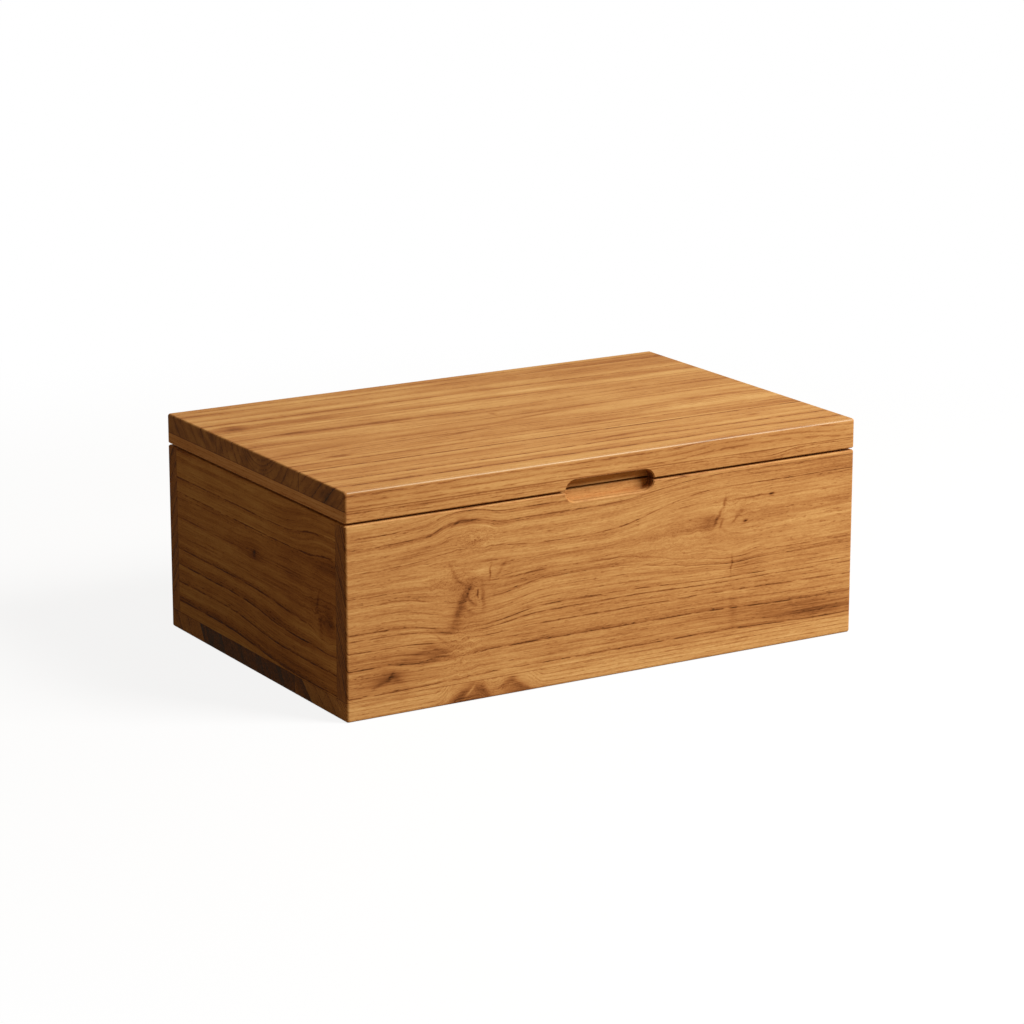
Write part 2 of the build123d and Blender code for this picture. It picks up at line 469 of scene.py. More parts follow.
    def _offset(self, tree: Tree, place: Socket, spot: Mark | Swirl) -> Socket:
        """Place relative to the middle of a spot, in units of its size.

        Args:
            tree: Node tree that gets it.
            place: Place in mm along, across and out of the board.
            spot: The spot.

        Returns:
            The relative place, with next to nothing along the axis that the spot runs through.
        """
        middle, size, turns = (spot.along, spot.across, 0), (spot.long, spot.wide, FAR), (0, 0, 0)
        if isinstance(spot, Mark) and spot.on_edge:
            middle, size = (spot.along, 0, spot.across), (spot.long, FAR, spot.wide)
            turns = (0, -math.radians(spot.turn), 0)
        elif isinstance(spot, Mark):
            turns = (0, 0, math.radians(spot.turn))
        inputs = {"Vector": place, "Location": middle, "Rotation": turns, "Scale": size}
        return add_node(tree, "Mapping", inputs, vector_type="TEXTURE")

    def _square(self, tree: Tree, offset: Socket) -> Socket:
        """Square of a relative place's distance from the middle."""
        return add_node(tree, "VectorMath", {0: offset, 1: offset}, "Value", operation="DOT_PRODUCT")

    def _fade(self, tree: Tree, place: Socket, spot: Mark) -> Socket:
        """Strength of a spot, exp(-r^2): 1 at its middle, next to nothing from twice its size on."""
        square = self._square(tree, self._offset(tree, place, spot))
        return add_node(tree, "Math", {0: INVERSE_E, 1: square}, operation="POWER")

    def _flow(self, tree: Tree, board: Board, place: Socket, spread: float) -> Socket:
        """Place along the grain, on the course that it takes and out of the board.

        The course is the place across, plus the slant of the rings through the thickness and a slow wander.
        Each swirl takes its lift from it, which fades as exp(-r^4). In a curl noise stirs it, which fades as
        exp(-r^2).

        Args:
            tree: Node tree that gets it.
            board: The board.
            place: Place in mm along, across and out of the board.
            spread: How much of the swirls' spread counts, from 0 to 1.

        Returns:
            The place that rings or fibres follow, in mm.
        """
        patch = (self.board_step * board.seed, 0, 0)
        own = add_node(tree, "VectorMath", {0: place, 1: patch}, operation="ADD")
        slope = (0, 1, board.slant)
        rise = add_node(tree, "VectorMath", {0: place, 1: slope}, "Value", operation="DOT_PRODUCT")
        course = add_node(tree, "Math", {0: rise, 1: board.slant * board.face}, operation="SUBTRACT")
        course = self._sum(tree, course, [(self._noise(tree, own, self.wander), self.wander.strength)])
        for swirl in board.swirls:
            offset = self._offset(tree, place, swirl)
            if swirl.goes_on:
                offset = add_node(tree, "VectorMath", {0: offset, 1: (0, FAR, FAR)}, operation="MINIMUM")
            square = self._square(tree, offset)
            fourth = add_node(tree, "Math", {0: square, 1: square}, operation="MULTIPLY")
            fade = add_node(tree, "Math", {0: INVERSE_E, 1: fourth}, operation="POWER")
            rise = add_node(tree, "SeparateXYZ", {0: offset}, "Y")
            drop = {0: rise, 1: -spread * swirl.spread * swirl.wide, 2: -swirl.lift}
            lift = add_node(tree, "Math", drop, operation="MULTIPLY_ADD")
            course = add_node(tree, "Math", {0: lift, 1: fade, 2: course}, operation="MULTIPLY_ADD")
        stir = self._noise(tree, place, self.churn) if board.curls else None
        for curl in board.curls:
            push = add_node(tree, "Math", {0: stir, 1: self._fade(tree, place, curl)}, operation="MULTIPLY")
            course = self._sum(tree, course, [(push, self.churn.strength * curl.dark)])
        start = add_node(tree, "SeparateXYZ", {0: own}, "X")
        return add_node(tree, "CombineXYZ", {0: start, 1: course, 2: start.node.outputs["Z"]})

    def _course(self, tree: Tree, board: Board, flow: Socket) -> Socket:
        """Course of the rings in mm: that of the fibres, or for rings round a pith the distance from it.

        Args:
            tree: Node tree that gets it.
            board: The board.
            flow: Place that the fibres follow, in mm.

        Returns:
            The course of the rings.
        """
        if not board.pith:
            return add_node(tree, "SeparateXYZ", {0: flow}, "Y")
        round_pith = {"Vector": flow, "Location": (0, *board.pith), "Scale": (FAR, 1, 1)}
        spoke = add_node(tree, "Mapping", round_pith, vector_type="TEXTURE")
        return add_node(tree, "VectorMath", {0: spoke}, "Value", operation="LENGTH")

    def _figure(self, tree: Tree, board: Board, flow: Socket, course: Socket) -> Socket:
        """Broken ring lines, the brown beside them, and pores that crowd in the brown.

        A ramp holds the nearest ring's course, darkness, brown and fade, so that a line is as thin as the
        distance from it says. The brown starts at the line and falls to nothing over the fade, on its side.

        Args:
            tree: Node tree that gets it.
            board: The board.
            flow: Place that the fibres follow, in mm.
            course: Course of the rings, in mm.

        Returns:
            How much darker the figure is than the plain wood.
        """
        run = {0: course, 1: 1 / self.ring_span, 2: MIDDLE}
        share = add_node(tree, "Math", run, operation="MULTIPLY_ADD")
        nearest = add_node(tree, "ValToRGB", {0: share}, stops=self._nearest_stops(board), blend="CONSTANT")
        level = add_node(tree, "SeparateColor", {0: nearest})
        gap = add_node(tree, "Math", {0: share, 1: level}, operation="SUBTRACT")
        away = add_node(tree, "Math", {0: gap}, operation="ABSOLUTE")
        width = self.line_width * board.coarse / self.ring_span
        line = add_node(tree, "MapRange", {0: away, 2: width, 3: 1.0, 4: 0.0})
        breaks = {0: self._noise(tree, flow, self.breaks), 1: self.break_from, 2: self.break_to}
        whole = add_node(tree, "MapRange", breaks, interpolation_type="SMOOTHSTEP")
        broken = add_node(tree, "Math", {0: line, 1: whole}, operation="MULTIPLY")
        lines = add_node(tree, "Math", {0: broken, 1: level.node.outputs[1]}, operation="MULTIPLY")
        reach = add_node(tree, "Math", {0: nearest.node.outputs["Alpha"], 1: MIDDLE}, operation="SUBTRACT")
        t = add_node(tree, "Math", {0: gap, 1: reach}, operation="DIVIDE")
        side = add_node(tree, "Math", {0: t, 1: 0.0}, operation="GREATER_THAN")
        fall = add_node(tree, "MapRange", {0: t, 3: level.node.outputs[2], 4: 0.0})
        browns = add_node(tree, "Math", {0: fall, 1: side}, operation="MULTIPLY")
        crowd = self._sum(tree, self.pores.strength, [(browns, self.pore_in_brown)])
        holes = {0: self._noise(tree, flow, self.pores), 1: self.pore_from, 2: self.pore_to}
        pore = add_node(tree, "MapRange", holes, interpolation_type="SMOOTHSTEP")
        pores = add_node(tree, "Math", {0: pore, 1: crowd}, operation="MULTIPLY")
        return self._sum(tree, pores, [(lines, 1.0), (browns, 1.0)])

    def _share(self, length: float) -> float:
        """A course or a fade as a share of the ring ramp, with 0 at its middle."""
        return length / self.ring_span + MIDDLE

    def _nearest_stops(self, board: Board) -> Stops:
        """Stops that hold each ring's course, darkness, brown and fade, from half way to the ring before it.

        Args:
            board: The board.

        Returns:
            One stop per ring, with the four values in the places of red, green, blue and alpha.
        """
        rings = sorted(board.rings, key=lambda ring: ring.course)
        starts = [-self.ring_span / 2, *((a.course + b.course) / 2 for a, b in zip(rings, rings[1:]))]
        held = [(self._share(ring.course), ring.dark, ring.brown, self._share(ring.fade)) for ring in rings]
        return [(self._share(start), values) for start, values in zip(starts, held)]

    def _marks(self, tree: Tree, board: Board, place: Socket, grit: Socket) -> Socket | float:
        """Spots, mottled curls and glue lines.

        A spot is dark as exp(-r^2), uneven in outline, with r roughened by grit. A curl has specks in a
        spot. A glue line is thin and dark on a plane.

        Args:
            tree: Node tree that gets it.
            board: The board.
            place: Place in mm along, across and out of the board.
            grit: Fine noise.

        Returns:
            How much darker the marks are than the plain wood.
        """
        total: Socket | float = 0.0
        rough = self._sum(tree, 1.0, [(grit, self.ragged)])
        uneven = self._uneven(tree, place)
        fine = self._noise(tree, place, self.specks)
        specks = add_node(tree, "MapRange", {0: fine, 1: self.speck_from, 2: self.speck_to})
        for mark in board.marks:
            square = self._square(tree, self._offset(tree, uneven, mark))
            bent = add_node(tree, "Math", {0: square, 1: rough}, operation="MULTIPLY")
            fade = add_node(tree, "Math", {0: INVERSE_E, 1: bent}, operation="POWER")
            total = self._sum(tree, total, [(fade, mark.dark)])
        for curl in board.curls:
            speckled = {0: self._fade(tree, place, curl), 1: specks}
            mottle = add_node(tree, "Math", speckled, operation="MULTIPLY")
            total = self._sum(tree, total, [(mottle, curl.dark)])
        for axis, level in board.joints:
            run = add_node(tree, "SeparateXYZ", {0: place}, axis)
            gap = add_node(tree, "Math", {0: run, 1: level}, operation="SUBTRACT")
            away = add_node(tree, "Math", {0: gap}, operation="ABSOLUTE")
            line = add_node(tree, "MapRange", {0: away, 2: self.joint_width * board.coarse, 3: 1.0, 4: 0.0})
            total = self._sum(tree, total, [(line, self.joint_dark)])
        return total

    def _calm(self, tree: Tree, board: Board, place: Socket) -> Socket:
        """Share of the figure that shows: less in curls, where the fibres run out of the face."""
        fades = [(self._fade(tree, place, curl), -self.calm) for curl in board.curls]
        return add_node(tree, "Math", {0: self._sum(tree, 1.0, fades), 1: 0.0}, operation="MAXIMUM")

    def _quieted(self, tree: Tree, board: Board, tone: Socket) -> Socket:
        """Tone with less figure on the back of the board, where coarse lines would look too bold.

        Args:
            tree: Node tree that gets it.
            board: The board.
            tone: Tone of the board with all its figure.

        Returns:
            The tone, nearer to that of the plain wood on the back.
        """
        facing = self._facing(tree, board.grain.value[2])
        back = {0: facing, 1: self.back_from, 2: self.back_to, 3: 0.0, 4: board.quiet}
        share = add_node(tree, "MapRange", back)
        return add_node(tree, "Mix", {0: share, 2: tone, 3: board.tone})

    def _uneven(self, tree: Tree, place: Socket) -> Socket:
        """Place pushed about by slow noise, so that spots come out uneven.

        Args:
            tree: Node tree that gets it.
            place: Place in mm along, across and out of the board.

        Returns:
            The pushed place, in mm.
        """
        size = self.push
        sized = drawn_out(tree, place, size.long, size.wide)
        noise = add_node(tree, "TexNoise", {"Vector": sized, "Scale": 1.0, "Detail": size.octaves}, "Color")
        centred = add_node(tree, "VectorMath", {0: noise, 1: (MIDDLE,) * 3}, operation="SUBTRACT")
        pushed = {0: centred, 1: (size.strength,) * 3, 2: place}
        return add_node(tree, "VectorMath", pushed, operation="MULTIPLY_ADD")

    def _facing(self, tree: Tree, axis: tuple[int, int, int]) -> Socket:
        """How far the surface faces along a box axis: 1 along it, 0 across it and -1 against it."""
        normal = add_node(tree, "TexCoord", {}, "Normal")
        return add_node(tree, "VectorMath", {0: normal, 1: axis}, "Value", operation="DOT_PRODUCT")

    def _ends(self, tree: Tree, board: Board) -> Socket:
        """Tells end grain from long grain by how far the surface faces along the grain.

        Args:
            tree: Node tree that gets it.
            board: The board.

        Returns:
            1 on end grain and 0 on long grain.
        """
        facing = self._facing(tree, board.grain.value[0])
        away = add_node(tree, "Math", {0: facing}, operation="ABSOLUTE")
        steep = {0: away, 1: self.end_from, 2: self.end_to}
        return add_node(tree, "MapRange", steep, interpolation_type="SMOOTHSTEP")

    def _long_edges(self, tree: Tree) -> Socket:
        """Finds the rounded long edges, rubbed to a shine and darkened by painted shade, from how they face.

        Args:
            tree: Node tree that gets it.

        Returns:
            1 on those edges, 0 on flat faces and on the other edges.
        """
        normal = add_node(tree, "TexCoord", {}, "Normal")
        away = add_node(tree, "VectorMath", {0: normal}, operation="ABSOLUTE")
        side = add_node(tree, "SeparateXYZ", {0: away}, "X")
        most = add_node(
            tree, "Math", {0: side.node.outputs["Y"], 1: side.node.outputs["Z"]}, operation="MAXIMUM"
        )
        edge = add_node(tree, "MapRange", {0: most, 1: self.edge_from, 2: self.edge_to, 3: 0.0, 4: 1.0})
        long = add_node(tree, "MapRange", {0: side, 1: self.long_from, 2: self.long_to, 3: 1.0, 4: 0.0})
        return add_node(tree, "Math", {0: edge, 1: long}, operation="MULTIPLY")

    def _relief(self, tree: Tree, board: Board, place: Socket) -> Socket:
        """Roughens the surface with open pores, less on a board with coarse grain.

        Args:
            tree: Node tree that gets it.
            board: The board.
            place: Place in mm along, across and out of the board.

        Returns:
            Normal of the roughened surface.
        """
        height = self._noise(tree, place, self.pores)
        depth = self.relief_depth * MM
        bump = {"Strength": self.relief / board.coarse**2, "Distance": depth, "Height": height}
        return add_node(tree, "Bump", bump)


@dataclass(frozen=True)
class BrushedBrass:
    """Rolled brass, brushed along its length: a yellow metal whose fine lines stretch its highlights."""

    name: str = "brushed brass"
    bright: str = "#cdb078"
    darkened: str = "#a88d58"
    roughness: float = 0.34
    roughness_spread: float = 0.2
    # Real brush lines are about 0.05 mm wide and would not show, so they are drawn coarser.
    line_length: float = 9.0
    line_width: float = 0.18
    line_depth: float = 0.05
    line_octaves: float = 2.0
    relief: float = 0.12
    stain_size: float = 7.0
    stain_octaves: float = 3.0
    worn_to: float = 0.35
    bright_from: float = 0.62

    def material(self) -> bpy.types.Material:
        """Builds the finish.

        Returns:
            The material.
        """
        material, tree = new_material(self.name)
        point = add_node(tree, "TexCoord", {}, "Object")
        drawn = drawn_out(tree, point, self.line_length * MM, self.line_width * MM)
        lines = add_node(tree, "TexNoise", {"Vector": drawn, "Scale": 1.0, "Detail": self.line_octaves})
        stains = {"Vector": point, "Scale": PER_MM / self.stain_size, "Detail": self.stain_octaves}
        stain = add_node(tree, "TexNoise", stains)
        shades = [(self.worn_to, linear(self.darkened)), (self.bright_from, linear(self.bright))]
        spread = {0: lines, 1: self.roughness_spread, 2: self.roughness}
        grooves = {"Strength": self.relief, "Distance": self.line_depth * MM, "Height": lines}
        metal = {
            "Base Color": add_node(tree, "ValToRGB", {0: stain}, stops=shades),
            "Metallic": 1.0,
            "Roughness": add_node(tree, "Math", spread, operation="MULTIPLY_ADD"),
            "Normal": add_node(tree, "Bump", grooves),
        }
        add_node(tree, "OutputMaterial", {"Surface": add_node(tree, "BsdfPrincipled", metal)})
        return material


@dataclass(frozen=True)
class PlanedBeech:
    """Beech, planed and left bare: pale, even wood with short brown flecks."""

    name: str = "planed beech"
    pale: str = "#dcb98c"
    fleck: str = "#b98a5a"
    fleck_length: float = 2.5
    fleck_width: float = 0.5
    fleck_octaves: float = 2.0
    pale_to: float = 0.5
    fleck_from: float = 0.72
    roughness: float = 0.6

    def material(self) -> bpy.types.Material:
        """Builds the finish.

        Returns:
            The material.
        """
        material, tree = new_material(self.name)
        point = add_node(tree, "TexCoord", {}, "Object")
        drawn = drawn_out(tree, point, self.fleck_length * MM, self.fleck_width * MM)
        flecks = add_node(tree, "TexNoise", {"Vector": drawn, "Scale": 1.0, "Detail": self.fleck_octaves})
        shades = [(self.pale_to, linear(self.pale)), (self.fleck_from, linear(self.fleck))]
        colour = add_node(tree, "ValToRGB", {0: flecks}, stops=shades)
        wood = add_node(tree, "BsdfPrincipled", {"Base Color": colour, "Roughness": self.roughness})
        add_node(tree, "OutputMaterial", {"Surface": wood})
        return material


@dataclass(frozen=True)
class PressedFelt:
    """Wool felt, pressed and cut: a matt brown cloth of tangled fibres."""

    name: str = "pressed felt"
    light: str = "#6f4a2f"
    dark: str = "#432a19"
    down: str = "#a97f5c"
    # Real wool fibres are about 0.03 mm thick and would not show, so their tangle is drawn coarser.
    fibre_size: float = 0.35
    fibre_depth: float = 0.1
    fibre_octaves: float = 4.0
    tangle: float = 2.0
    nap: float = 0.6
    dark_to: float = 0.35
    light_from: float = 0.65
    roughness: float = 0.95
    sheen: float = 0.15

    def material(self) -> bpy.types.Material:
        """Builds the finish.

        Returns:
            The material.
        """
        material, tree = new_material(self.name)
        point = add_node(tree, "TexCoord", {}, "Object")
        tangle = {"Vector": point, "Scale": PER_MM / self.fibre_size, "Distortion": self.tangle}
        fibres = add_node(tree, "TexNoise", {**tangle, "Detail": self.fibre_octaves})
        shades = [(self.dark_to, linear(self.dark)), (self.light_from, linear(self.light))]
        nap = {"Strength": self.nap, "Distance": self.fibre_depth * MM, "Height": fibres}
        cloth = {
            "Base Color": add_node(tree, "ValToRGB", {0: fibres}, stops=shades),
            "Roughness": self.roughness,
            "Sheen Weight": self.sheen,
            "Sheen Tint": linear(self.down),
            "Normal": add_node(tree, "Bump", nap),
        }
        add_node(tree, "OutputMaterial", {"Surface": add_node(tree, "BsdfPrincipled", cloth)})
        return material


@dataclass
class Case:
    """The case: a glued-up bottom panel, four boards on it, and the loose tongues that hold them."""

    teak: OiledTeak
    beech: PlanedBeech
    boards: tuple[Board, ...] = (
        Board(
            # Its end grain is darker than the face: partly real end grain, partly painted shade on the
            # notch's end walls.
            node="front_board", grain=Grain.FRONT, seed=1, face=FRONT_FACE, slant=2.2, tone=0.36, ends=0.22,
            streaky=0.85,
            swirls=(
                Swirl(-79, 58, 33, 21, -2.5, 0.5), Swirl(72, 71, 58, 24, 3.7, 0.85, goes_on=True),
                Swirl(-150, 89, 50, 15, -3.4), Swirl(-84, 92, 16, 9, 3.2), Swirl(-97, 24, 22, 10, -1.6),
                Swirl(150, 22, 70, 14, -2), Swirl(-150, 12, 60, 9, -1.8), Swirl(74, 52, 12, 7, -1.5),
            ),
            rings=(
                Ring(94.8, 0.3, 0.1, -4), Ring(89.6, 0.34, 0.1, -6), Ring(84, 0.08, 0.03, -3),
                Ring(75.6, 0.36, 0.08, -4), Ring(68, 0.08, 0.03, -3), Ring(61.5, 0.26, 0.07, 3),
                Ring(57.2, 0.26, 0.14, 4), Ring(52, 0.12, 0.04, 3), Ring(47.6, 0.12, 0.04, 2),
                Ring(43.4, 0.42, 0.09, 2), Ring(40.2, 0.38, 0.1, 1.6), Ring(37, 0.12, 0.03, 1.6),
                Ring(34.2, 0.38, 0.09, 1.6), Ring(29.8, 0.12, 0.04, 2.2), Ring(25.3, 0.46, 0.16, 2.4),
                Ring(21.4, 0.12, 0.04, 2), Ring(17.4, 0.14, 0.04, 2), Ring(13.4, 0.4, 0.14, 2.4),
            ),
            marks=(
                Mark(-82, 53, 9, 12, 0, 0.09), Mark(-84.4, 53.2, 8.6, 2.2, 59, 0.22),
                Mark(-88, 45.2, 5, 2.4, 60, 0.18), Mark(-82, 55.5, 6, 0.7, 72, 0.1),
                Mark(-73.4, 52.5, 6.2, 1.2, 92, 0.19), Mark(-81, 52.2, 3.2, 0.7, -60, 0.16),
                Mark(-79, 49.6, 3, 0.7, -28, 0.14), Mark(-82, 46.6, 3.2, 0.7, -38, 0.14),
                Mark(-76.6, 50.5, 2.4, 3.4, 0, -0.06), Mark(-89.5, 39.5, 5, 2.4, 20, 0.12),
                Mark(-94, 37, 6, 1.2, -10, 0.14), Mark(-76.4, 55.2, 2.2, 0.5, 88, 0.4),
                Mark(-75, 65.5, 5, 3, 12, -0.12), Mark(-79, 62.5, 7, 0.9, -12, 0.12),
                Mark(-69.4, 64.5, 3.4, 0.5, 86, 0.3), Mark(-90, 66.5, 5, 1, -58, 0.16),
                Mark(-86, 61.5, 5, 0.9, -30, 0.12), Mark(-62.5, 66.5, 5, 1, 52, 0.14),
                Mark(-70, 70.5, 7, 0.8, 6, 0.12), Mark(-78, 81, 6, 1.4, 8, 0.12),
                Mark(-88, 92, 3.5, 0.8, 30, 0.24), Mark(-82, 92.5, 5, 1.6, -8, 0.22),
                Mark(-112, 79, 14, 2.6, 9, 0.1), Mark(-127, 18.5, 9, 3.2, 6, 0.17),
                Mark(-122, 17.5, 5, 1.4, -35, 0.12), Mark(-131, 17, 6, 1, 22, 0.12),
                Mark(-126, 20, 3, 0.8, 60, 0.12), Mark(-109, 29, 8, 1.7, 20, 0.11),
                Mark(-98, 29, 7, 1.7, -24, 0.12), Mark(-104, 26.5, 10, 3, 0, 0.13),
                Mark(-97, 25.5, 7, 0.8, -10, 0.18), Mark(-134, 20, 26, 9, 0, 0.09),
                Mark(-98, 34.5, 5, 0.7, -35, 0.14), Mark(58, 72, 7, 6, 20, 0.11),
                Mark(60, 71, 4, 5, 0, 0.1), Mark(69.2, 81, 3.4, 0.9, 84, 0.28),
                Mark(66.3, 75.4, 3.4, 0.8, 52, 0.24), Mark(63.6, 71.3, 2.8, 0.9, 66, 0.22),
                Mark(67.2, 69.8, 3, 0.8, 72, 0.2), Mark(69.2, 66.6, 2.4, 0.8, -30, 0.16),
                Mark(72, 73.4, 3.4, 2.2, 20, -0.1), Mark(76, 71.6, 3, 0.9, 45, 0.18),
                Mark(79, 75, 3.4, 1.6, 15, 0.12), Mark(82.4, 70.2, 1.1, 0.6, 0, 0.55),
                Mark(85, 82, 13, 0.5, 0, 0.3), Mark(98.4, 82.2, 1.6, 0.7, 8, 0.55),
                Mark(74, 48, 5, 0.6, 88, 0.22), Mark(84, 47.5, 12, 5, 0, 0.1),
                Mark(75, 24, 2.4, 12, 0, 0.09), Mark(112, 21, 45, 2.8, -1, 0.13),
                Mark(112, 16, 40, 3.2, 0, 0.16), Mark(128, 15.5, 24, 2.4, 0, 0.14),
                Mark(140, 92, 22, 4, 0, 0.08), Mark(130, 65, 24, 9, 0, -0.07),
                Mark(20, 84, 34, 4, 6, -0.05), Mark(0, 95.6, 23, 2.6, 0, -0.1),
                # Painted shade: this spot darkens the shaded right end wall of the finger notch.
                Mark(25.2, 92.4, 2.4, 2.6, 0, 0.12, on_edge=True),
            ),
            curls=(
                Mark(-85, 27, 12, 16, 0, 0.2), Mark(-78, 82, 14, 6, 0, 0.24), Mark(-94, 63, 14, 9, 0, 0.16),
                Mark(-79, 55, 11, 12, 0, 0.1), Mark(38, 64, 34, 10, 0, 0.12), Mark(74, 80, 16, 9, 0, 0.12),
            ),
            joints=(("Y", BASE_TOP),),
        ),
        Board(
            node="back_board", grain=Grain.FRONT, seed=2, face=-FRONT_FACE, slant=-1.6, tone=0.38,
            ends=0.18,
            swirls=(Swirl(60, 40, 40, 18, 0, 0.6), Swirl(-110, 70, 50, 20, 3)),
            rings=(
                Ring(88, 0.4, 0.1, -7), Ring(76, 0.3, 0.08, -5), Ring(64, 0.18, 0.05, -4),
                Ring(55, 0.34, 0.08, -4), Ring(44, 0.2, 0.05, 4), Ring(33, 0.42, 0.1, 6),
                Ring(27, 0.22, 0.05, 3), Ring(21, 0.4, 0.1, 4), Ring(14, 0.3, 0.08, 3),
            ),
            marks=(
                Mark(60, 40, 4, 4.5, 0, 0.22), Mark(57, 41, 1.2, 3.6, 10, 0.24), Mark(60, 40, 9, 6, 0, 0.1),
            ),
            curls=(Mark(60, 40, 16, 12, 0, 0.16),),
            joints=(("Y", BASE_TOP),),
        ),
        Board(
            node="left_side_board", grain=Grain.LEFT, seed=3, face=SIDE_FACE, slant=1.2, tone=0.40,
            streaky=2.0,
            swirls=(
                Swirl(85, 92, 40, 16, 5), Swirl(70, 22, 75, 26, -6), Swirl(2, 62, 12, 9, 0, 0.4),
                Swirl(78, 46, 15, 12, 0, 0.7),
            ),
            rings=(
                Ring(83.5, 0.5, 0.16, -4), Ring(75.5, 0.54, 0.16, -5), Ring(62, 0.12, 0.04, 4),
                Ring(52, 0.14, 0.06, 4), Ring(45, 0.4, 0.14, 4), Ring(36.5, 0.54, 0.2, 5),
                Ring(27, 0.48, 0.18, 5), Ring(16.4, 0.58, 0.24, 6),
            ),
            marks=(
                Mark(1, 63, 1.6, 2, 0, 0.34), Mark(0, 62, 9, 6, 0, 0.14), Mark(79, 45, 8, 7, 0, 0.18),
                Mark(82, 46, 4, 3.4, 30, 0.18), Mark(71, 43, 2, 6, 10, 0.2), Mark(68, 53, 6, 1, 70, 0.22),
                Mark(-60, 62, 44, 20, 0, -0.08), Mark(25, 17, 62, 11, -6, 0.1),
                Mark(55, 62, 30, 34, 0, 0.05),
            ),
            curls=(Mark(62, 58, 26, 22, 0, 0.08), Mark(78, 46, 14, 12, 0, 0.12)),
            joints=(("Y", BASE_TOP), ("X", -SIDE_END), ("X", SIDE_END)),
        ),
        Board(
            node="right_side_board", grain=Grain.LEFT, seed=4, face=-SIDE_FACE, slant=-1.4, tone=0.38,
            swirls=(Swirl(-20, 55, 40, 20, 0, 0.5), Swirl(60, 25, 50, 20, 3.5)),
            rings=(
                Ring(86, 0.36, 0.08, -5), Ring(71, 0.3, 0.08, -4), Ring(58, 0.16, 0.05, -3),
                Ring(49, 0.16, 0.05, 3), Ring(40, 0.36, 0.08, 5), Ring(29, 0.34, 0.08, 5),
                Ring(18, 0.4, 0.1, 5),
            ),
            marks=(
                Mark(-20, 55, 3.4, 3.8, 0, 0.2), Mark(-22, 55, 1.1, 3, 8, 0.22),
                Mark(-20, 55, 8, 5, 0, 0.1),
            ),
            curls=(Mark(-20, 55, 13, 10, 0, 0.16),),
            joints=(("Y", BASE_TOP), ("X", -SIDE_END), ("X", SIDE_END)),
        ),
        Board(
            node="base_stave_front", grain=Grain.TOP, seed=5, face=0.0, slant=-1.2, tone=0.24, streaky=0.8,
            swirls=(Swirl(-82, -97, 13, 30, -12), Swirl(-55, -97, 12, 30, -9)),
            rings=(
                Ring(-108.5, 0.2, 0.05, 1.4), Ring(-106, 0.24, 0.06, 1.4), Ring(-103.5, 0.22, 0.06, 1.4),
                Ring(-101, 0.26, 0.06, 1.4), Ring(-98.5, 0.2, 0.05, 1.4), Ring(-88, 0.3, 0.08, 5),
                Ring(-76, 0.3, 0.08, 5), Ring(-62, 0.32, 0.3, 20),
            ),
            marks=(
                Mark(-80, 3.5, 11, 5, 0, 0.32, on_edge=True), Mark(-88, 3, 10, 2.6, 34, 0.24, on_edge=True),
                Mark(-74, 5, 7, 2.6, -42, 0.24, on_edge=True), Mark(-84, 0.6, 15, 2, 0, 0.2, on_edge=True),
                Mark(-81, 5.4, 4, 0.6, 52, -0.26, on_edge=True),
                Mark(-56, 2.5, 10, 4, -12, 0.28, on_edge=True),
                Mark(-61, 5.6, 6, 1.4, 26, 0.18, on_edge=True),
                Mark(-53, 4.6, 8, 1.8, -28, 0.24, on_edge=True),
                Mark(-48, 0.8, 12, 1.6, 0, 0.16, on_edge=True), Mark(-115, 8, 22, 1, -1, 0.1, on_edge=True),
                Mark(20, 5, 60, 3, 0, -0.05, on_edge=True),
            ),
            curls=(Mark(-72, 4, 24, 5, 0, 0.12, on_edge=True),),
            joints=(("Z", BASE_TOP),),
        ),
        Board(
            node="base_stave_middle", grain=Grain.TOP, seed=6, face=0.0, slant=-0.5, tone=0.44, ends=0.40,
            rings=(
                Ring(-32, 0.2, 0.1, 5), Ring(-10, 0.16, 0.06, 8), Ring(12, 0.16, 0.06, 8),
                Ring(34, 0.2, 0.1, 8), Ring(52, 0.2, 0.08, -8),
            ),
            joints=(("Z", BASE_TOP),),
        ),
        Board(
            node="base_stave_rear", grain=Grain.TOP, seed=7, face=0.0, slant=-0.6, tone=0.34,
            rings=(Ring(57.5, 0.2, 0.34, -9), Ring(72, 0.2, 0.05, 4), Ring(84, 0.34, 0.08, 6)),
            joints=(("Z", BASE_TOP),),
        ),
    )
    tongues: tuple[str, ...] = ("corner_tongues", "long_base_tongues", "side_base_tongues")

    def build(self) -> None:
        """Dresses the boards and the tongues."""
        for board in self.boards:
            dress(board.node, self.teak.material(board))
        beech = self.beech.material()
        for node in self.tongues:
            dress(node, beech)


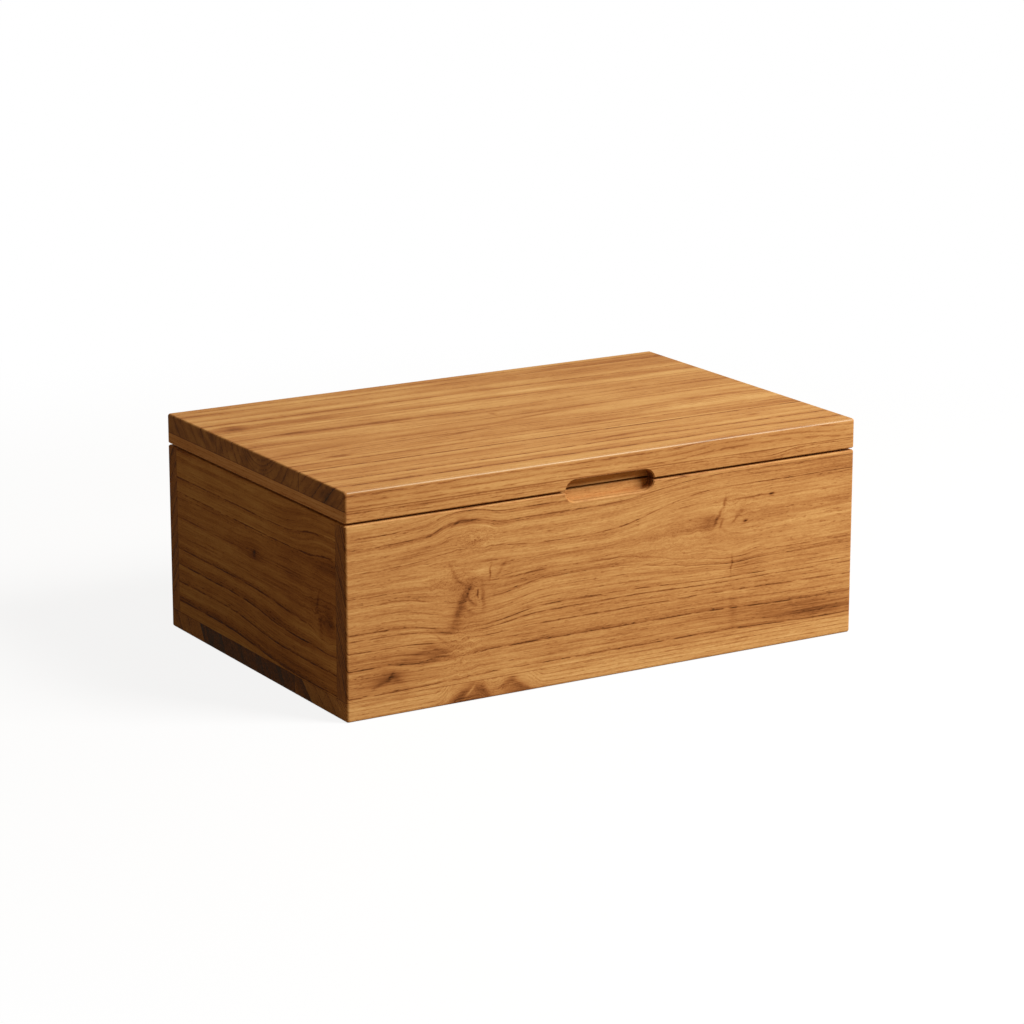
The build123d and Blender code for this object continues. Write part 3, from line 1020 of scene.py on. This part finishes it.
@dataclass
class Lid:
    """The lid: a glued-up panel on a thin mitred frame."""

    teak: OiledTeak
    boards: tuple[Board, ...] = (
        Board(
            node="lid_stave_front", grain=Grain.TOP, seed=11, face=LID_TOP, slant=1.1, tone=0.315,
            # Its long edges get full shine and full painted shade.
            ends=0.13, end_figure=-0.3, end_dry=0.13, streaky=1.1, coarse=1.8, quiet=0.5, edge_shine_and_shade=1.0,
            swirls=(Swirl(20, -66, 40, 12, 1.5), Swirl(90, -97, 40, 14, 3)),
            rings=(
                Ring(-106, 0.24, 0.05, 2), Ring(-103, 0.2, 0.05, 2), Ring(-99.5, 0.24, 0.05, 2),
                Ring(-94, 0.18, 0.04, 3), Ring(-86.5, 0.46, 0.1, 4), Ring(-80.5, 0.16, 0.04, 3),
                Ring(-74, 0.48, 0.1, 5), Ring(-66, 0.2, 0.05, 3), Ring(-58, 0.22, 0.06, 4),
                Ring(-50.4, 0.44, 0.08, -3),
            ),
            marks=(
                Mark(22, -66, 17, 1.3, 4, 0.3), Mark(110, -62, 4, 1.6, 10, 0.22),
                # The large spot at the left end is painted shade: the top darkens towards the end away from
                # the lamp.
                Mark(-150.5, -78, 1.2, 9, 0, 0.24), Mark(-150, -72, 60, 60, 0, 0.04),
            ),
            joints=(("Y", LID_FRONT_JOINT), ("Z", RAIL_TOP)),
        ),
        Board(
            node="lid_stave_middle", grain=Grain.TOP, seed=12, face=LID_TOP,
            pith=(-8.0, 130.0),
            tone=0.32, ends=0.13, end_figure=0.0, end_dry=0.13, streaky=1.5, coarse=1.8, quiet=0.5,
            swirls=(Swirl(-40, -20, 60, 12, 3), Swirl(10, 14, 60, 12, -3), Swirl(110, -16, 40, 12, 2)),
            rings=(
                Ring(17.5, 0.14, 0.05, 2), Ring(20, 0.2, 0.06, 2), Ring(22.2, 0.14, 0.05, 1.2),
                Ring(23.9, 0.24, 0.08, 0.6), Ring(29, 0.16, 0.06, 3), Ring(34, 0.24, 0.08, 3),
                Ring(41, 0.16, 0.05, 3), Ring(46, 0.18, 0.06, 3),
            ),
            marks=(
                Mark(-118, -31, 8, 1.8, 3, 0.32), Mark(-130, -15, 20, 1.2, 6, 0.18),
                Mark(-38, -19, 20, 1, 10, 0.16), Mark(8, -6, 20, 1.6, 8, 0.26),
                Mark(112, -13, 24, 2.4, -4, 0.22), Mark(-118, 24, 12, 1.2, 0, 0.26),
                Mark(-62, 21, 24, 1.4, -1, 0.24), Mark(-5, 9, 2, 1.8, 0, 0.24), Mark(30, 4, 30, 4, -8, 0.1),
                Mark(120, 20, 30, 5, 0, 0.1), Mark(90, -32, 60, 4, 0, -0.08),
                # The large spot at the left end is painted shade: the top darkens towards the end away from
                # the lamp.
                Mark(-60, 4, 40, 4, -4, -0.07), Mark(-150, 0, 60, 90, 0, 0.06),
            ),
            joints=(("Y", LID_FRONT_JOINT), ("Y", LID_REAR_JOINT), ("Z", RAIL_TOP)),
        ),
        Board(
            node="lid_stave_rear", grain=Grain.TOP, seed=13, face=LID_TOP, slant=-0.9, tone=0.325,
            ends=0.14, end_figure=-0.3, end_dry=0.13, streaky=1.7, coarse=1.8, quiet=0.5,
            swirls=(Swirl(-136, 47, 14, 10, 0, 0.5),),
            rings=(
                Ring(50, 0.18, 0.05, -3), Ring(58.5, 0.28, 0.08, -5), Ring(70, 0.2, 0.06, 5),
                Ring(82, 0.24, 0.08, 4), Ring(90, 0.22, 0.06, 4),
            ),
            # The large spot at the left end is painted shade: the top darkens towards the end away from the
            # lamp.
            marks=(Mark(-136, 47, 5, 7, 0, 0.13), Mark(-150, 70, 60, 60, 0, 0.05)),
            joints=(("Y", LID_REAR_JOINT), ("Z", RAIL_TOP)),
        ),
        Board(
            node="lid_front_rail", grain=Grain.FRONT, seed=14, face=FRONT_FACE, slant=1.5, tone=0.375,
            # Its end grain is drawn dark: partly real end grain, partly painted shade on the notch's end
            # walls.
            ends=0.34, streaky=0.5,
            swirls=(Swirl(93, 108, 16, 9, -2.5),),
            rings=(Ring(102, 0.12, 0.03, 1.2), Ring(104.4, 0.2, 0.06, -1)),
            marks=(
                # The spot at 25.2 is painted shade on the shaded right end wall of the finger notch.
                Mark(93, 106, 9, 2.2, 0, 0.22), Mark(25.2, 92.4, 2.4, 2.6, 0, 0.12, on_edge=True),
                Mark(-2, 91, 20, 1.6, 0, -0.12, on_edge=True),
            ),
            joints=(("Y", RAIL_TOP),),
        ),
        Board(
            node="lid_back_rail", grain=Grain.FRONT, seed=15, face=-FRONT_FACE, slant=-1.5,
            rings=(Ring(100.8, 0.2, 0.05, 1.2), Ring(103.4, 0.28, 0.06, -1.2)),
            joints=(("Y", RAIL_TOP),),
        ),
        Board(
            node="lid_left_rail", grain=Grain.LEFT, seed=16, face=SIDE_FACE, slant=1.0, tone=0.13,
            cast="#fff2ff",
            rings=(Ring(100.8, 0.16, 0.05, 1.2), Ring(103.4, 0.16, 0.05, -1.2)),
            joints=(("Y", RAIL_TOP),),
        ),
        Board(
            node="lid_right_rail", grain=Grain.LEFT, seed=17, face=-SIDE_FACE, slant=-1.0, tone=0.34,
            rings=(Ring(100.4, 0.2, 0.05, 1.2), Ring(102.6, 0.2, 0.05, -1.2)),
            joints=(("Y", RAIL_TOP),),
        ),
    )

    def build(self) -> None:
        """Dresses the staves and the rails."""
        for board in self.boards:
            dress(board.node, self.teak.material(board))


@dataclass
class Hinges:
    """Two brass stop hinges with slotted countersunk screws."""

    brass: BrushedBrass
    parts: tuple[str, ...] = ("case_leaf", "lid_leaf", "pin")
    sides: tuple[str, ...] = ("left_hinge", "right_hinge")
    screw_spacing: float = 19.0 * MM
    shank_radius: float = 1.0 * MM
    slot_width: float = 0.8 * MM
    slot_depth: float = 0.5 * MM
    columns_per_side: int = 7
    rows: int = 9
    turn_step: float = 1.1

    def build(self) -> None:
        """Dresses the leaves and pins and makes the screws."""
        brass = self.brass.material()
        for side in self.sides:
            for part in self.parts:
                dress(f"{side}_{part}", brass)
        for body, up in (("case", 1.0), ("lid", -1.0)):
            node = f"{body}_hinge_screws"
            screws = self._screws(node, up)
            screws.data.materials.append(brass)
            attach(screws, body)
            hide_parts(node)
            LOG.info("%s: slotted heads", node)

    def _screws(self, node: str, up: float) -> bpy.types.Object:
        """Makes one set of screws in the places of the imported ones.

        Args:
            node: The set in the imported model.
            up: 1 where the heads face up, -1 where they face down.

        Returns:
            The screws as one piece.
        """
        low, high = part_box(node)
        radius = (high.y - low.y) / 2
        vertices, faces = self._screw(radius, high.z - low.z)
        level = high.z if up > 0 else low.z
        columns = [side * (high.x - radius - k * self.screw_spacing) for side in (-1, 1) for k in (0, 1)]
        places = np.array([(x, (low.y + high.y) / 2, level) for x in columns])
        turns = self.turn_step * np.arange(len(places))
        cos, sin, none, one = np.cos(turns), np.sin(turns), np.zeros(len(turns)), np.ones(len(turns))
        spins = np.array([[cos, -sin, none], [up * sin, up * cos, none], [none, none, up * one]])
        points = np.einsum("ijn,vj->nvi", spins, vertices) + places[:, None]
        quads = faces + len(vertices) * np.arange(len(places))[:, None, None]
        return new_piece(f"{node}_slotted", points.reshape(-1, 3), quads.reshape(-1, 4), False)

    def _screw(self, radius: float, length: float) -> tuple[np.ndarray, np.ndarray]:
        """A countersunk screw with the top of its head at the origin and its tip below.

        The top is a grid: columns run across the head, doubled at the slot's walls, and each column's rows
        go from rim to rim, y = t * sqrt(r^2 - x^2), where r is the head's radius less the depth, as the head
        is a cone of 45 degrees. Each point of the rim then runs down the cone to the shank, along it and in
        to the tip.

        Args:
            radius: Radius of the head.
            length: Length of the screw.

        Returns:
            The vertices and the quads.
        """
        half = self.slot_width / 2
        side = radius * np.cos(np.linspace(0, math.acos(half / radius), self.columns_per_side))
        x = np.concatenate([-side, [-half, 0.0, half], side[::-1]])
        flat = np.zeros(len(side))
        depth = np.concatenate([flat, np.full(3, self.slot_depth), flat])
        reach = np.sqrt(np.maximum((radius - depth) ** 2 - x**2, 0.0))
        t = np.linspace(-1, 1, self.rows)
        top = np.stack(np.broadcast_arrays(x[:, None], t * reach[:, None], -depth[:, None]), -1)
        rim = np.concatenate([top[:, 0], top[::-1, -1]])
        way = rim[:, :2] / np.linalg.norm(rim[:, :2], axis=1, keepdims=True)
        neck, end = self.shank_radius - radius, self.shank_radius - length
        loops = np.stack(
            [
                rim,
                np.insert(way * self.shank_radius, 2, neck, axis=1),
                np.insert(way * self.shank_radius, 2, end, axis=1),
                np.insert(way * 0.0, 2, -length, axis=1),
            ]
        )
        grid = np.arange(len(x) * self.rows).reshape(len(x), self.rows)
        loft = grid.size + np.arange(len(loops) * len(rim)).reshape(len(loops), len(rim))
        beside = np.roll(loft, -1, 1)
        lid = np.stack([grid[:-1, :-1], grid[1:, :-1], grid[1:, 1:], grid[:-1, 1:]], -1)
        wall = np.stack([loft[:-1], loft[1:], beside[1:], beside[:-1]], -1)
        vertices = np.concatenate([top.reshape(-1, 3), loops.reshape(-1, 3)])
        return vertices, np.concatenate([lid.reshape(-1, 4), wall.reshape(-1, 4)])


@dataclass
class Pads:
    """Felt pads on the front board that carry the closed lid."""

    felt: PressedFelt
    node: str = "lid_pads"
    length: float = 9.0 * MM
    squareness: float = 0.3
    around: int = 64
    rows: int = 17
    fill: float = 0.9

    def build(self) -> None:
        """Makes the pads and dresses them.

        Each pad is a superellipsoid, a box with rounded edges and corners: the sines and cosines of a
        sphere's longitude and latitude are raised to a small power.
        """
        low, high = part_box(self.node)
        half = np.array([self.length, high.y - low.y, high.z - low.z]) / 2
        middle = np.array([high.x - half[0], (low.y + high.y) / 2, (low.z + high.z) / 2])
        longitude = np.linspace(0, 2 * math.pi, self.around, endpoint=False)
        latitude = np.linspace(-math.pi / 2, math.pi / 2, self.rows)[:, None]
        waves = (np.cos(longitude), np.sin(longitude), np.cos(latitude), np.sin(latitude))
        cx, sx, cz, sz = (np.sign(wave) * np.abs(wave) ** self.squareness for wave in waves)
        shape = np.stack(np.broadcast_arrays(cz * cx, cz * sx, sz), -1)
        points = (shape * half).reshape(-1, 3)
        grid = np.arange(self.rows * self.around).reshape(self.rows, self.around)
        beside = np.roll(grid, -1, 1)
        quads = np.stack([grid[:-1], beside[:-1], beside[1:], grid[1:]], -1).reshape(-1, 4)
        both = np.concatenate([points + middle * (side, 1, 1) for side in (-1, 1)])
        pads = new_piece("felt_pads", both, np.concatenate([quads, quads + len(points)]), True)
        pads.data.materials.append(self.felt.material())
        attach(pads, "case")
        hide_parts(self.node)
        LOG.info("%s: crowned felt", self.node)


@dataclass
class Studio:
    """A plain white floor, soft light from the front right and above, and the camera."""

    lens: float = 124.33
    sensor: float = 36.0
    camera_at: tuple[float, float, float] = (-0.9201, -1.5322, 0.5345)
    azimuth: float = -31.02
    elevation: float = 14.762
    floor_half: float = 12.0
    floor_drop: float = 0.1 * MM
    floor_bounce: str = "#8a765a"
    shade_near: float = 0.12
    shade_from: float = 0.30
    shade_to: float = 0.75
    key_at: tuple[float, float, float] = (1.08, -1.25, 1.41)
    key_size: float = 0.9
    key_power: float = 63.0
    sky: float = 0.19
    sky_tint: str = "#ffdda6"

    def build(self) -> None:
        """Builds floor, light and camera."""
        self._floor()
        self._key()
        self._sky()
        self._camera()

    def _seen(self, tree: Tree) -> Socket:
        """Tells rays that are seen from rays that carry light.

        Args:
            tree: Node tree that gets it.

        Returns:
            1 for rays from the eye, from mirrors and through glass, 0 for the others.
        """
        eye = add_node(tree, "LightPath", {}, "Is Camera Ray")
        outputs = eye.node.outputs
        mirror = add_node(tree, "Math", {0: eye, 1: outputs["Is Glossy Ray"]}, operation="MAXIMUM")
        return add_node(tree, "Math", {0: mirror, 1: outputs["Is Transmission Ray"]}, operation="MAXIMUM")

    def _floor(self) -> None:
        """Floor seen as white, with the box's pale shadow near it, that sends little light back up."""
        ways = np.array([(-1, -1), (1, -1), (1, 1), (-1, 1)])
        corners = np.insert(ways * self.floor_half, 2, -self.floor_drop, axis=1)
        floor = new_piece("floor", corners, np.array([[0, 1, 2, 3]]), False)
        material, tree = new_material("white studio floor")
        seen = self._seen(tree)
        tint = {0: seen, 6: linear(self.floor_bounce), 7: WHITE}
        shaded = add_node(tree, "BsdfDiffuse", {"Color": add_node(tree, "Mix", tint, 2, data_type="RGBA")})
        white = add_node(tree, "Emission", {"Color": WHITE, "Strength": 1.0})
        point = add_node(tree, "TexCoord", {}, "Object")
        away = add_node(tree, "VectorMath", {0: point}, "Value", operation="LENGTH")
        reach = {0: away, 1: self.shade_from, 2: self.shade_to, 3: 1 - self.shade_near, 4: 1.0}
        plain = add_node(tree, "MapRange", reach, interpolation_type="SMOOTHSTEP")
        share = add_node(tree, "Math", {0: seen, 1: plain}, operation="MULTIPLY")
        surface = add_node(tree, "MixShader", {0: share, 1: shaded, 2: white})
        add_node(tree, "OutputMaterial", {"Surface": surface})
        floor.data.materials.append(material)

    def _key(self) -> None:
        """One large soft lamp at the front right."""
        lamp = bpy.data.lights.new("key", "AREA")
        lamp.energy = self.key_power
        lamp.size = self.key_size
        key = bpy.data.objects.new("key", lamp)
        key.location = self.key_at
        key.rotation_euler = (-Vector(self.key_at)).to_track_quat("-Z", "Y").to_euler()
        bpy.context.scene.collection.objects.link(key)

    def _sky(self) -> None:
        """Even, warm light from all round, seen by the eye, by mirrors and through glass as white."""
        world = bpy.data.worlds.new("studio")
        world.use_nodes = True
        tree = world.node_tree
        tree.nodes.clear()
        seen = self._seen(tree)
        tint = add_node(tree, "Mix", {0: seen, 6: linear(self.sky_tint), 7: WHITE}, 2, data_type="RGBA")
        light = add_node(tree, "MapRange", {0: seen, 3: self.sky, 4: 1.0})
        around = add_node(tree, "Background", {"Color": tint, "Strength": light})
        add_node(tree, "OutputWorld", {"Surface": around})
        bpy.context.scene.world = world

    def _camera(self) -> None:
        """Camera at the photograph's place, with its lens."""
        lens = bpy.data.cameras.new("camera")
        lens.sensor_width = self.sensor
        lens.lens = self.lens
        camera = bpy.data.objects.new("camera", lens)
        camera.location = self.camera_at
        camera.rotation_euler = (math.radians(90 - self.elevation), 0, math.radians(self.azimuth))
        bpy.context.scene.collection.objects.link(camera)
        bpy.context.scene.camera = camera


def main() -> None:
    """Builds the sub-assemblies and the studio."""
    logging.basicConfig(level=logging.INFO, format="%(name)s: %(message)s")
    bpy.context.scene.view_settings.view_transform = "Standard"
    teak = OiledTeak()
    Case(teak, PlanedBeech()).build()
    Lid(teak).build()
    Hinges(BrushedBrass()).build()
    Pads(PressedFelt()).build()
    Studio().build()


if __name__ == "__main__":
    main()
